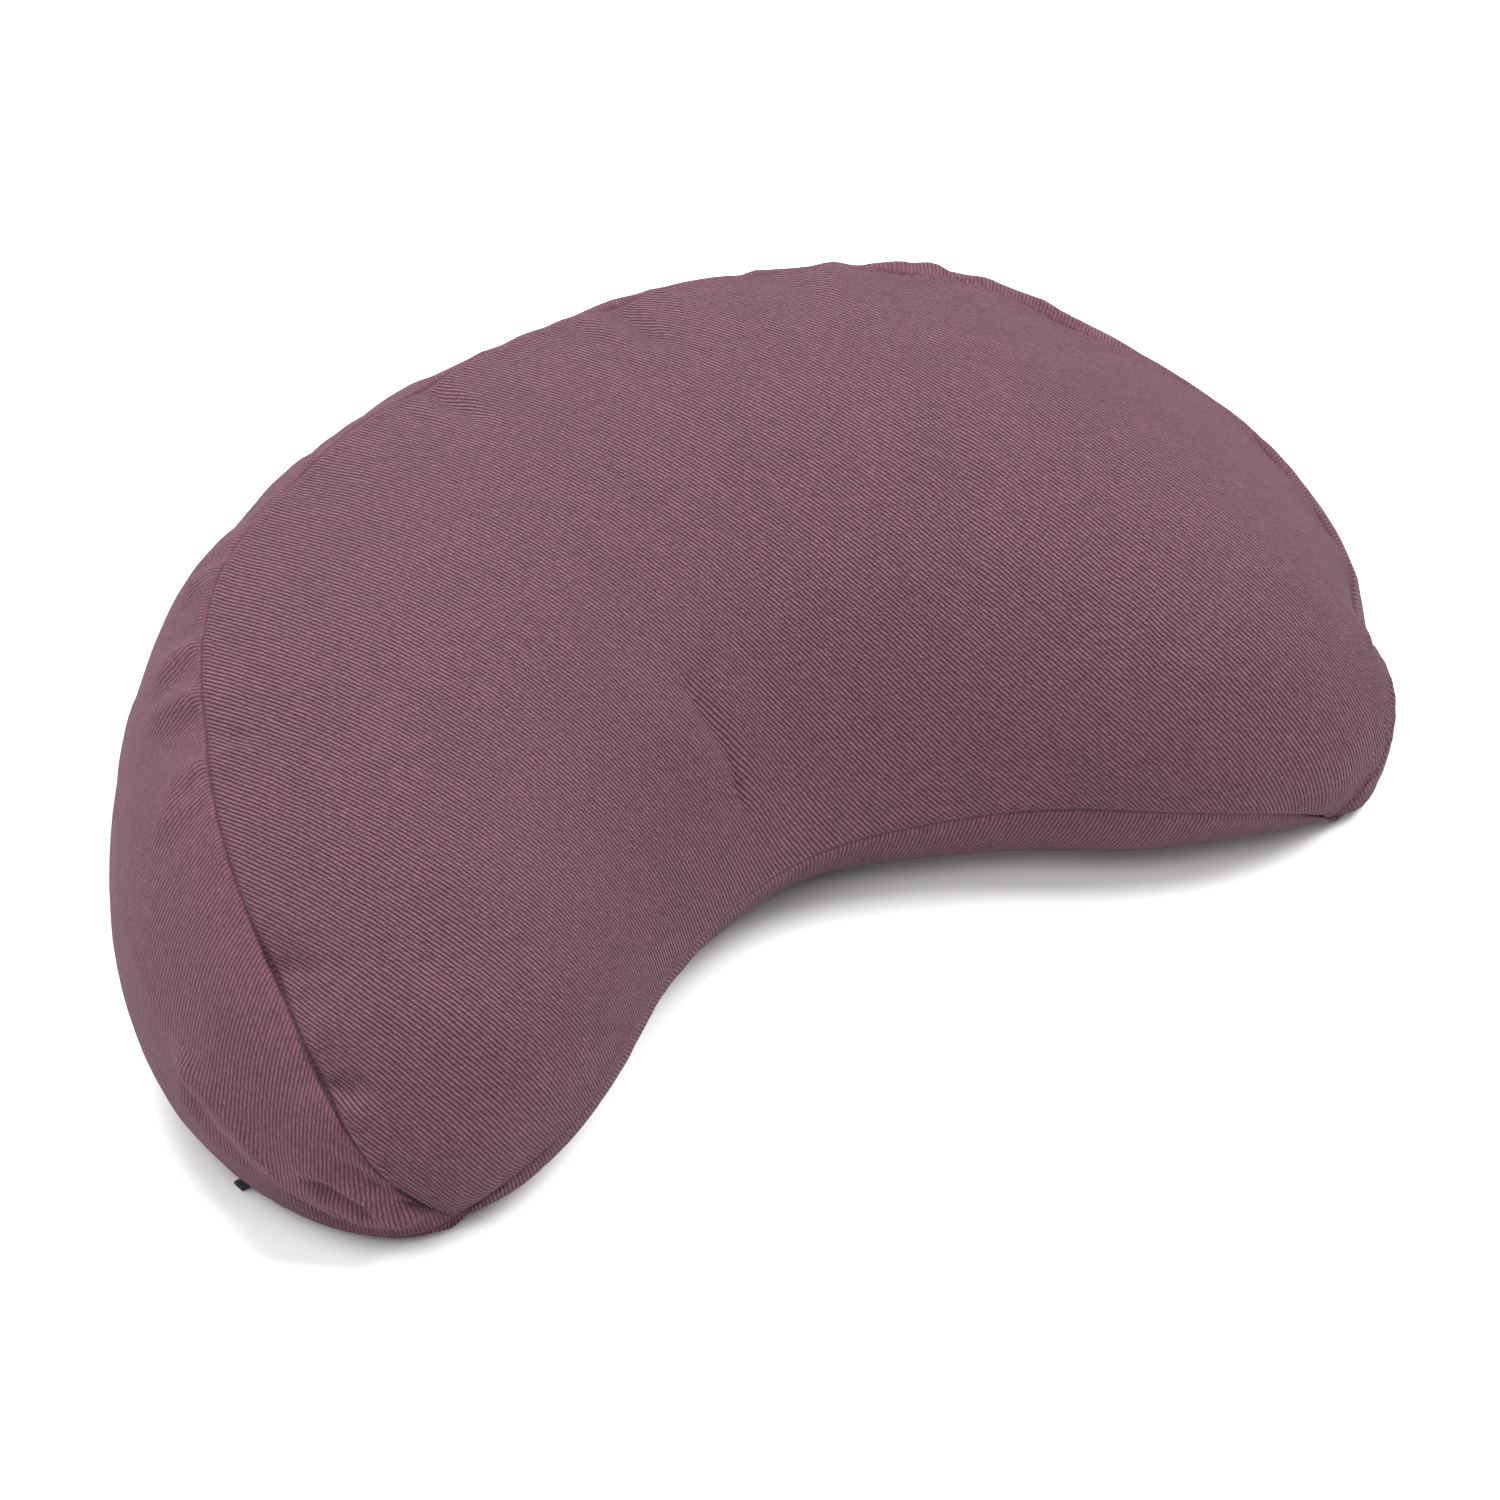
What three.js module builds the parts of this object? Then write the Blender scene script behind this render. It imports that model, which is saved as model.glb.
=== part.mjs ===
// A crescent meditation cushion: one filled bag of three cloth panels, thick at the back and thin along the hollow front.
// Millimetres, +Z up. The hollow of the crescent faces -Y, the high back is at +Y, and the two horns end at -X and +X.
// The origin is on the floor, under the middle of the cushion's outline.
import * as THREE from "three";

// ---------------------------------------------------------------- sizes
const RINGS = 96; // cross sections from the right horn to the left one
const TOP_STEPS = 20; // across the top panel
const SIDE_STEPS = 11; // down the side band
const FOOT_STEPS = 4; // round the heel, from the band's lower seam to the floor
const FLAT_STEPS = 5; // across the flat of the underside
const LIP_STEPS = 5; // from the floor up to the inner seam

const CROWN = 43.8; // height of the top panel over the straight line between its two seams, where it is widest
const CROWN_LEAN = 0.25; // moves the crown towards the hollow side
const CROWN_FULLNESS = 0.87; // under 1: drawn in hard at both seams and full between
const CROWN_TAPER = 0.84; // how fast the crown drops towards the horns
const BAND_FULLNESS = 0.68;
const BAND_SAG = -0.09; // the band is a little fuller near its top
const HEEL_RUN = 16; // from the lower seam in to the floor contact
const LIP_RUN = 46; // from the inner seam in to the floor contact
const HORN_ROUND = 0.3; // share of the half length over which the crown builds up from the horn's corner
const HORN_LIFT = 0.2; // share of the half length over which the underside rises to the horn's corner

// The top panel's outer seam, from the corner of the right horn to the middle of the back. The left half is its mirror.
const OUTER_SEAM = [
  { x: 169.3, y: -118.4, z: 6.5 },
  { x: 197.2, y: -113.9, z: 42.0 },
  { x: 198.7, y: -74.4, z: 72.4 },
  { x: 191.4, y: -26.9, z: 97.6 },
  { x: 170.8, y: 21.9, z: 114.8 },
  { x: 140.7, y: 62.3, z: 126.5 },
  { x: 98.0, y: 84.3, z: 133.7 },
  { x: 50.2, y: 97.4, z: 136.1 },
  { x: 0.0, y: 100.4, z: 136.2 },
];
// The inner seam, where the top panel meets the underside round the hollow, from the same corner to the middle.
const INNER_SEAM = [
  { x: 169.3, y: -118.4, z: 6.5 },
  { x: 141.1, y: -127.5, z: 27.4 },
  { x: 109.6, y: -117.0, z: 35.8 },
  { x: 76.1, y: -93.5, z: 36.5 },
  { x: 38.9, y: -74.6, z: 34.5 },
  { x: 0.0, y: -65.9, z: 33.5 },
];
// The lower seam, between the side band and the underside, from the same corner to the middle of the back.
const LOWER_SEAM = [
  { x: 169.3, y: -118.4, z: 6.5 },
  { x: 181.0, y: -116.5, z: 4.0 },
  { x: 193.0, y: -110.0, z: 4.2 },
  { x: 204.0, y: -96.0, z: 4.4 },
  { x: 211.0, y: -76.0, z: 4.4 },
  { x: 212.5, y: -50.0, z: 4.4 },
  { x: 205.0, y: -18.0, z: 4.4 },
  { x: 187.5, y: 13.0, z: 4.4 },
  { x: 163.0, y: 42.0, z: 4.4 },
  { x: 133.0, y: 66.0, z: 4.4 },
  { x: 95.0, y: 86.0, z: 4.4 },
  { x: 48.0, y: 99.5, z: 4.4 },
  { x: 0.0, y: 104.0, z: 4.4 },
];
// How far the filling pushes the side band out between its two seams, at stations from the horn (0) to the middle of
// the back (1). The filling has shifted a little, so the two halves differ.
const BAND = [
  { at: 0.0, right: 0.5, left: 0.5 },
  { at: 0.12, right: 2.0, left: 3.5 },
  { at: 0.28, right: 18.5, left: 22.0 },
  { at: 0.45, right: 27.0, left: 28.0 },
  { at: 0.7, right: 23.0, left: 25.5 },
  { at: 1.0, right: 28.5, left: 28.5 },
];
// How far the underside swells out below the inner seam, at the same kind of stations.
const SWELL = [
  { at: 0.0, right: -6.0, left: -5.5 },
  { at: 0.25, right: -3.0, left: 0.5 },
  { at: 0.5, right: 4.0, left: 0.5 },
  { at: 0.75, right: 2.5, left: -2.0 },
  { at: 1.0, right: -1.5, left: -1.5 },
];
// Troughs that the drawn seam pulls into the cloth. at: along the seam, 0 at the right horn and 1 at the left one.
// depth and half_width in mm. reach: share of the panel that the trough runs into.
const SEAM_TROUGHS = [
  { panel: "top", at: 0.098, depth: 3.6, half_width: 11, reach: 0.34 },
  { panel: "top", at: 0.135, depth: 1.6, half_width: 9, reach: 0.2 },
  { panel: "top", at: 0.17, depth: 2.2, half_width: 10, reach: 0.22 },
  { panel: "top", at: 0.212, depth: 1.8, half_width: 9, reach: 0.2 },
  { panel: "top", at: 0.27, depth: 1.4, half_width: 11, reach: 0.18 },
  { panel: "top", at: 0.338, depth: 2.4, half_width: 9, reach: 0.2 },
  { panel: "top", at: 0.392, depth: 2.0, half_width: 10, reach: 0.2 },
  { panel: "top", at: 0.455, depth: 2.6, half_width: 10, reach: 0.22 },
  { panel: "top", at: 0.548, depth: 2.4, half_width: 10, reach: 0.2 },
  { panel: "top", at: 0.62, depth: 1.4, half_width: 10, reach: 0.16 },
  { panel: "top", at: 0.756, depth: 1.2, half_width: 9, reach: 0.16 },
  { panel: "top", at: 0.861, depth: 2.4, half_width: 11, reach: 0.26 },
  { panel: "top", at: 0.908, depth: 2.8, half_width: 10, reach: 0.3 },
  { panel: "band", at: 0.1, depth: 2.0, half_width: 10, reach: 0.4 },
  { panel: "band", at: 0.2, depth: 1.8, half_width: 10, reach: 0.35 },
  { panel: "band", at: 0.31, depth: 2.0, half_width: 10, reach: 0.3 },
  { panel: "band", at: 0.415, depth: 2.2, half_width: 11, reach: 0.35 },
  { panel: "band", at: 0.52, depth: 1.8, half_width: 10, reach: 0.3 },
  { panel: "band", at: 0.64, depth: 1.8, half_width: 9, reach: 0.3 },
  { panel: "band", at: 0.7, depth: 1.8, half_width: 9, reach: 0.35 },
  { panel: "band", at: 0.752, depth: 2.0, half_width: 9, reach: 0.35 },
  { panel: "band", at: 0.815, depth: 1.4, half_width: 10, reach: 0.3 },
  { panel: "band", at: 0.905, depth: 1.8, half_width: 9, reach: 0.5 },
];
// Soft creases of the top panel that start at the inner seam, above the hollow.
const INNER_TROUGHS = [
  { at: 0.285, depth: 0.8, half_width: 10, reach: 0.3 },
  { at: 0.375, depth: 1.0, half_width: 9, reach: 0.35 },
  { at: 0.44, depth: 1.2, half_width: 9, reach: 0.4 },
  { at: 0.505, depth: 1.4, half_width: 8, reach: 0.4 },
  { at: 0.557, depth: 2.6, half_width: 8, reach: 0.45 },
  { at: 0.9, depth: 1.4, half_width: 8, reach: 0.14 },
  { at: 0.935, depth: 1.4, half_width: 7, reach: 0.14 },
];

// The tape tab caught in the band's lower seam.
const TAB_AT = 0.8975;
const TAB_WIDTH = 4.4; // along the seam
const TAB_GAP = -1.4; // its sewn end, outwards from the seam
const TAB_RISE = 0; // of its sewn end over its free end
const TAB_LENGTH = 4;
const TAB_THICKNESS = 1.2;
const TAB_FLOOR = 0.25; // clear of the floor

const PLUM = 0x7d5a64;
const TAPE = 0x1d1c28;

// ---------------------------------------------------------------- curves
const ramp = (t) => {
  const c = Math.min(Math.max(t, 0), 1);
  return c * c * (3 - 2 * c);
};

const hump = (t) => Math.exp(-t * t);

// Natural cubic spline through values at rising stations.
function spline(stations, values) {
  const n = stations.length;
  const slope = new Array(n).fill(0); // second derivatives
  const work = new Array(n).fill(0);
  for (let i = 1; i < n - 1; i++) {
    const before = stations[i] - stations[i - 1];
    const after = stations[i + 1] - stations[i];
    const share = before / (before + after);
    const p = share * slope[i - 1] + 2;
    slope[i] = (share - 1) / p;
    const bend =
      (values[i + 1] - values[i]) / after - (values[i] - values[i - 1]) / before;
    work[i] = ((6 * bend) / (before + after) - share * work[i - 1]) / p;
  }
  slope[n - 1] = 0;
  for (let i = n - 2; i >= 0; i--) slope[i] = slope[i] * slope[i + 1] + work[i];
  slope[0] = 0;
  return (t) => {
    let i = 0;
    while (i < n - 2 && t > stations[i + 1]) i++;
    const h = stations[i + 1] - stations[i];
    const a = (stations[i + 1] - t) / h;
    const b = 1 - a;
    return (
      a * values[i] +
      b * values[i + 1] +
      (((a ** 3 - a) * slope[i] + (b ** 3 - b) * slope[i + 1]) * h * h) / 6
    );
  };
}

// A seam as a function of the share of its length, from the right horn over the mirror plane to the left horn.
function seam(half) {
  const whole = half
    .map((p) => new THREE.Vector3(p.x, p.y, p.z))
    .concat(
      half
        .slice(0, -1)
        .reverse()
        .map((p) => new THREE.Vector3(-p.x, p.y, p.z)),
    );
  const stations = [0];
  for (let i = 1; i < whole.length; i++)
    stations.push(stations[i - 1] + whole[i].distanceTo(whole[i - 1]));
  const [fx, fy, fz] = ["x", "y", "z"].map((k) =>
    spline(
      stations,
      whole.map((p) => p[k]),
    ),
  );
  const fine = 1200;
  const total = stations[stations.length - 1];
  const samples = [];
  const run = [0];
  for (let i = 0; i <= fine; i++) {
    const t = (total * i) / fine;
    samples.push(new THREE.Vector3(fx(t), fy(t), fz(t)));
    if (i) run.push(run[i - 1] + samples[i].distanceTo(samples[i - 1]));
  }
  return (u) => {
    const want = Math.min(Math.max(u, 0), 1) * run[fine];
    let low = 0;
    let high = fine;
    while (high - low > 1) {
      const mid = (low + high) >> 1;
      if (run[mid] <= want) low = mid;
      else high = mid;
    }
    return samples[low]
      .clone()
      .lerp(samples[high], (want - run[low]) / (run[high] - run[low]));
  };
}

// Values of a table between its stations: a smooth curve that doesn't overshoot them.
function between(table, column) {
  const step = [];
  const rise = [];
  for (let i = 0; i < table.length - 1; i++) {
    step.push(table[i + 1].at - table[i].at);
    rise.push((table[i + 1][column] - table[i][column]) / step[i]);
  }
  const last = rise.length - 1;
  const slope = [rise[0]];
  for (let i = 1; i <= last; i++) {
    const a = 2 * step[i] + step[i - 1];
    const b = step[i] + 2 * step[i - 1];
    slope.push(
      rise[i - 1] * rise[i] <= 0
        ? 0
        : (a + b) / (a / rise[i - 1] + b / rise[i]),
    );
  }
  slope.push(0); // the middle of the back mirrors
  return (at) => {
    let i = 0;
    while (i < last && at > table[i + 1].at) i++;
    const h = step[i];
    const t = Math.min(Math.max((at - table[i].at) / h, 0), 1);
    return (
      table[i][column] * (1 + 2 * t) * (1 - t) ** 2 +
      table[i + 1][column] * (3 - 2 * t) * t * t +
      slope[i] * h * t * (1 - t) ** 2 -
      slope[i + 1] * h * t * t * (1 - t)
    );
  };
}

const outer = seam(OUTER_SEAM);
const inner = seam(INNER_SEAM);
const lower = seam(LOWER_SEAM);
const bulge = { right: between(BAND, "right"), left: between(BAND, "left") };
const swell = { right: between(SWELL, "right"), left: between(SWELL, "left") };
const HORN_Z = OUTER_SEAM[0].z;

const direction = (curve, u) =>
  curve(u + 2e-3)
    .sub(curve(u - 2e-3))
    .normalize();
// Horizontal and away from the hollow, square to a seam.
const outward = (curve, u) => {
  const t = direction(curve, u);
  return new THREE.Vector3(t.y, -t.x, 0).normalize();
};
const toEnd = (u) => 2 * Math.min(u, 1 - u); // 0 at a horn, 1 at the middle of the back
// The underside lies on the floor, and rises towards the horn's corner.
const floorAt = (e, heel) =>
  Math.min(HORN_Z * (1 - ramp(e / HORN_LIFT)), 0.8 * heel);

const WIDEST = outer(0.5).distanceTo(inner(0.5));

// One closed cross section, from the inner seam over the top, down the band and back under the cushion.
function section(u) {
  const e = toEnd(u);
  const half = u < 0.5 ? "right" : "left";
  const a = inner(u);
  const b = outer(u);
  const c = lower(u);
  const points = [];

  const across = b.clone().sub(a);
  const width = across.length();
  const along = direction(inner, u).add(direction(outer, u)).normalize();
  const up = across.clone().cross(along).normalize();
  if (up.z - 0.5 * up.y < 0) up.negate(); // at a horn's end the panel faces the front more than upwards
  const crown =
    CROWN * (width / WIDEST) ** CROWN_TAPER * ramp(e / HORN_ROUND) ** 0.5;
  for (let i = 0; i <= TOP_STEPS; i++) {
    const v = i / TOP_STEPS;
    const lift =
      (4 * v * (1 - v)) ** CROWN_FULLNESS * (1 + CROWN_LEAN * (1 - 2 * v));
    points.push(a.clone().lerp(b, v).addScaledVector(up, crown * lift));
  }

  const out = outward(outer, u);
  const push = bulge[half](e) * ramp(e / 0.05) ** 0.5;
  for (let i = 1; i <= SIDE_STEPS; i++) {
    const w = i / SIDE_STEPS;
    const full = (4 * w * (1 - w)) ** BAND_FULLNESS * (1 + BAND_SAG * (2 * w - 1));
    points.push(b.clone().lerp(c, w).addScaledVector(out, push * full));
  }

  const floor = floorAt(e, c.z);
  const under = a.clone().sub(c).setZ(0);
  const run = under.length();
  under.divideScalar(run);
  const heel = Math.min(HEEL_RUN, 0.35 * run);
  const lip = Math.min(LIP_RUN, 0.45 * run);
  const proud = swell[half](e) * ramp(e / 0.1);
  const at = (s, z) => c.clone().addScaledVector(under, s).setZ(z);
  for (let i = 1; i <= FOOT_STEPS; i++) {
    const t = ((Math.PI / 2) * i) / FOOT_STEPS;
    points.push(
      at(heel * (1 - Math.cos(t)), floor + (c.z - floor) * (1 - Math.sin(t))),
    );
  }
  for (let i = 1; i <= FLAT_STEPS; i++)
    points.push(at(heel + ((run - lip - heel) * i) / FLAT_STEPS, floor));
  for (let i = LIP_STEPS - 1; i >= 1; i--) {
    const t = ((Math.PI / 2) * i) / LIP_STEPS;
    points.push(
      at(
        run - lip * (1 - Math.cos(t)) + proud * Math.sin(2 * t),
        floor + (a.z - floor) * (1 - Math.sin(t)),
      ),
    );
  }
  return points;
}

// ---------------------------------------------------------------- the filled body
// Sections stand closer together at the horns.
const stationOf = (k) => {
  const t = k / RINGS;
  return t - 0.05 * Math.sin(2 * Math.PI * t);
};
const stations = Array.from({ length: RINGS - 1 }, (_, k) => stationOf(k + 1));
const rings = stations.map(section);
const PER_RING = rings[0].length;
const LENGTH = 819; // of the outer seam, to turn a half width into a share
const INNER_LENGTH = 390;

// How deep the troughs are at one point of the grid.
function trough(u, j) {
  let depth = 0;
  if (j <= TOP_STEPS) {
    const v = j / TOP_STEPS;
    for (const t of SEAM_TROUGHS)
      if (t.panel === "top")
        depth +=
          t.depth *
          hump(((u - t.at) * LENGTH) / t.half_width) *
          ramp(1 - (1 - v) / t.reach);
    for (const t of INNER_TROUGHS)
      depth +=
        t.depth *
        hump(((u - t.at) * INNER_LENGTH) / t.half_width) *
        ramp(1 - v / t.reach) *
        ramp(v / 0.06);
  } else if (j <= TOP_STEPS + SIDE_STEPS) {
    const w = (j - TOP_STEPS) / SIDE_STEPS;
    for (const t of SEAM_TROUGHS)
      if (t.panel === "band")
        depth +=
          t.depth *
          hump(((u - t.at) * LENGTH) / t.half_width) *
          ramp(1 - w / t.reach);
  }
  return depth * ramp(toEnd(u) / 0.1);
}

const moved = rings.map((ring, i) =>
  ring.map((p, j) => {
    const depth = trough(stations[i], j);
    if (depth < 0.02) return p;
    const before = rings[Math.max(i - 1, 0)][j];
    const after = rings[Math.min(i + 1, rings.length - 1)][j];
    const left = ring[(j + PER_RING - 1) % PER_RING];
    const right = ring[(j + 1) % PER_RING];
    const normal = right
      .clone()
      .sub(left)
      .cross(after.clone().sub(before))
      .normalize();
    if (normal.dot(p.clone().sub(new THREE.Vector3(0, 20, 50))) < 0)
      normal.negate();
    return p.clone().addScaledVector(normal, -depth);
  }),
);

const corners = [];
for (const ring of moved) for (const p of ring) corners.push(p.x, p.y, p.z);
const rightHorn = corners.length / 3;
corners.push(OUTER_SEAM[0].x, OUTER_SEAM[0].y, OUTER_SEAM[0].z);
corners.push(-OUTER_SEAM[0].x, OUTER_SEAM[0].y, OUTER_SEAM[0].z);
const leftHorn = rightHorn + 1;
const faces = [];
for (let i = 0; i < moved.length - 1; i++)
  for (let j = 0; j < PER_RING; j++) {
    const k = (j + 1) % PER_RING;
    const [a, b, c, d] = [
      i * PER_RING + j,
      i * PER_RING + k,
      (i + 1) * PER_RING + k,
      (i + 1) * PER_RING + j,
    ];
    faces.push(a, b, c, a, c, d);
  }
for (let j = 0; j < PER_RING; j++) {
  const k = (j + 1) % PER_RING;
  const last = (moved.length - 1) * PER_RING;
  faces.push(rightHorn, k, j);
  faces.push(leftHorn, last + j, last + k);
}

// Signed volume: turns the faces round if they point inwards.
let volume = 0;
const corner = (i) =>
  new THREE.Vector3(corners[3 * i], corners[3 * i + 1], corners[3 * i + 2]);
for (let i = 0; i < faces.length; i += 3)
  volume +=
    corner(faces[i]).dot(corner(faces[i + 1]).cross(corner(faces[i + 2]))) / 6;
if (volume < 0)
  for (let i = 0; i < faces.length; i += 3)
    [faces[i + 1], faces[i + 2]] = [faces[i + 2], faces[i + 1]];

// The outline's middle goes over the origin and the flat of the underside to z = 0.
const box = new THREE.Box3().setFromArray(corners);
const shift = new THREE.Vector3(
  -(box.min.x + box.max.x) / 2,
  -(box.min.y + box.max.y) / 2,
  -box.min.z,
);
const body = new THREE.BufferGeometry();
body.setAttribute("position", new THREE.Float32BufferAttribute(corners, 3));
body.setIndex(faces);
body.translate(shift.x, shift.y, shift.z);
body.computeVertexNormals();

const cushion = new THREE.Mesh(
  body,
  new THREE.MeshStandardMaterial({ color: PLUM, roughness: 0.95, metalness: 0 }),
);
cushion.name = "cushion";

// ---------------------------------------------------------------- the tab
// A folded end of tape that lies flat on the floor under the drawn-in lower seam and sticks out from it.
const side = new THREE.Shape();
side.moveTo(0, TAB_THICKNESS + TAB_RISE);
side.quadraticCurveTo(
  TAB_LENGTH * 0.5,
  TAB_THICKNESS + TAB_RISE,
  TAB_LENGTH - TAB_THICKNESS / 2,
  TAB_THICKNESS,
);
side.absarc(
  TAB_LENGTH - TAB_THICKNESS / 2,
  TAB_THICKNESS / 2,
  TAB_THICKNESS / 2,
  Math.PI / 2,
  -Math.PI / 2,
  true,
);
side.quadraticCurveTo(TAB_LENGTH * 0.5, 0.2, 0, TAB_RISE);
side.closePath();
const tape = new THREE.ExtrudeGeometry(side, {
  depth: TAB_WIDTH,
  bevelEnabled: false,
  curveSegments: 8,
  steps: 1,
});
tape.translate(0, 0, -TAB_WIDTH / 2);
const tabOut = outward(lower, TAB_AT);
const tabAlong = new THREE.Vector3().crossVectors(
  tabOut,
  new THREE.Vector3(0, 0, 1),
);
tape.applyMatrix4(
  new THREE.Matrix4().makeBasis(
    tabOut,
    new THREE.Vector3(0, 0, 1),
    tabAlong,
  ),
);
const tabRoot = lower(TAB_AT)
  .addScaledVector(tabOut, TAB_GAP)
  .add(shift)
  .setZ(TAB_FLOOR);
tape.translate(tabRoot.x, tabRoot.y, tabRoot.z);
const tab = new THREE.Mesh(
  tape,
  new THREE.MeshStandardMaterial({ color: TAPE, roughness: 0.85, metalness: 0 }),
);
tab.name = "tab";

const group = new THREE.Group();
group.name = "meditation_cushion";
group.add(cushion, tab);

export default group;
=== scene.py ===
import math

import bpy
import numpy as np
from mathutils import Matrix, Vector


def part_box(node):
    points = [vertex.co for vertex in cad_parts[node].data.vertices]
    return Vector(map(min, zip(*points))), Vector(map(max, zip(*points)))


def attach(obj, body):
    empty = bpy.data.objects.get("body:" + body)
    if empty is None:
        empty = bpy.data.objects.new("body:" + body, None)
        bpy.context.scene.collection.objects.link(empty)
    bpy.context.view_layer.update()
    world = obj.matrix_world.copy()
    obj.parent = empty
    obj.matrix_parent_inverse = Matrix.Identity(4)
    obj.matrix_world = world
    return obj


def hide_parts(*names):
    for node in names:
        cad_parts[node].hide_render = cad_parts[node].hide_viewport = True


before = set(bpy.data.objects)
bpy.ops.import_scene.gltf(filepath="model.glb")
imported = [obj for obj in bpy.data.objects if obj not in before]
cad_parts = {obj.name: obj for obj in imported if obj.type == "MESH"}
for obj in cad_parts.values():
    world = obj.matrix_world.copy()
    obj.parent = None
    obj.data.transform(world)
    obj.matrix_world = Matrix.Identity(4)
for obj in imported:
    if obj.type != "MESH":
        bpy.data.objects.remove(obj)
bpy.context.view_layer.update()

# ------------------------------------------------------------------ sizes, as in the part's source (mm)
OUTER_SEAM = np.array([
    (169.3, -118.4, 6.5), (197.2, -113.9, 42.0), (198.7, -74.4, 72.4), (191.4, -26.9, 97.6), (170.8, 21.9, 114.8),
    (140.7, 62.3, 126.5), (98.0, 84.3, 133.7), (50.2, 97.4, 136.1), (0.0, 100.4, 136.2)])
INNER_SEAM = np.array([
    (169.3, -118.4, 6.5), (141.1, -127.5, 27.4), (109.6, -117.0, 35.8), (76.1, -93.5, 36.5), (38.9, -74.6, 34.5),
    (0.0, -65.9, 33.5)])
LOWER_SEAM = np.array([
    (169.3, -118.4, 6.5), (181.0, -116.5, 4.0), (193.0, -110.0, 4.2), (204.0, -96.0, 4.4), (211.0, -76.0, 4.4),
    (212.5, -50.0, 4.4), (205.0, -18.0, 4.4), (187.5, 13.0, 4.4), (163.0, 42.0, 4.4), (133.0, 66.0, 4.4),
    (95.0, 86.0, 4.4), (48.0, 99.5, 4.4), (0.0, 104.0, 4.4)])
BAND_AT = (0.0, 0.12, 0.28, 0.45, 0.7, 1.0)
BAND_BULGE = {"right": (0.5, 2.0, 18.5, 27.0, 23.0, 28.5), "left": (0.5, 3.5, 22.0, 28.0, 25.5, 28.5)}
SWELL_AT = (0.0, 0.25, 0.5, 0.75, 1.0)
SWELL = {"right": (-6.0, -3.0, 4.0, 2.5, -1.5), "left": (-5.5, 0.5, 0.5, -2.0, -1.5)}
CROWN, CROWN_LEAN, CROWN_FULLNESS, CROWN_TAPER = 43.8, 0.25, 0.87, 0.84
BAND_FULLNESS, BAND_SAG = 0.68, -0.09
HEEL_RUN, LIP_RUN, HORN_ROUND, HORN_LIFT = 16.0, 46.0, 0.3, 0.2
OUTER_LENGTH, INNER_LENGTH = 819.0, 390.0

# Columns of the fine grid
RINGS = 380
TOP, BAND, HEEL, FLAT, LIP = 86, 62, 7, 13, 22

# Cloth folds near the outer seam and the inner seam. at: along the seam, 0 right horn, 1 left horn. mm, share.
SEAM_TROUGHS = (
    # panel, at, depth, half width, reach
    ("top", 0.098, 3.6, 11, 0.34), ("top", 0.135, 1.6, 9, 0.2), ("top", 0.17, 2.2, 10, 0.22),
    ("top", 0.212, 1.8, 9, 0.2), ("top", 0.27, 1.4, 11, 0.18), ("top", 0.338, 2.4, 9, 0.2),
    ("top", 0.392, 2.0, 10, 0.2), ("top", 0.455, 2.6, 10, 0.22), ("top", 0.548, 2.4, 10, 0.2),
    ("top", 0.62, 1.4, 10, 0.16), ("top", 0.756, 1.2, 9, 0.16), ("top", 0.861, 2.4, 11, 0.26),
    ("top", 0.908, 2.8, 10, 0.3), ("band", 0.1, 2.0, 10, 0.4), ("band", 0.2, 1.8, 10, 0.35),
    ("band", 0.31, 2.0, 10, 0.3), ("band", 0.415, 2.2, 11, 0.35), ("band", 0.52, 1.8, 10, 0.3),
    ("band", 0.64, 1.8, 9, 0.3), ("band", 0.7, 1.8, 9, 0.35), ("band", 0.752, 2.0, 9, 0.35),
    ("band", 0.815, 1.4, 10, 0.3), ("band", 0.905, 1.8, 9, 0.5))
INNER_TROUGHS = (
    # at, depth, half width, reach
    (0.285, 0.8, 10, 0.3), (0.375, 1.0, 9, 0.35), (0.44, 1.2, 9, 0.4), (0.505, 1.4, 8, 0.4), (0.557, 2.6, 8, 0.45),
    (0.9, 1.4, 8, 0.14), (0.935, 1.4, 7, 0.14))
# Where the band's cloth rolls up behind the outer seam: at, half width (shares), height, distance from the seam (mm)
ROLLS = ((0.292, 0.050, 2.2, 4.6), (0.311, 0.014, 1.6, 4.6), (0.655, 0.016, 0.8, 5.0))
# How far the bag's edge stands out sideways near the outer seam: at, mm
EDGE = ((0.0, 0.0), (0.018, 3.6), (0.034, 3.6), (0.052, 0.6), (0.073, -2.0), (0.093, -5.0), (0.113, 0.8), (0.14, 1.5),
        (0.2, 1.5), (0.225, 0.0), (1.0, 0.0))
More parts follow.
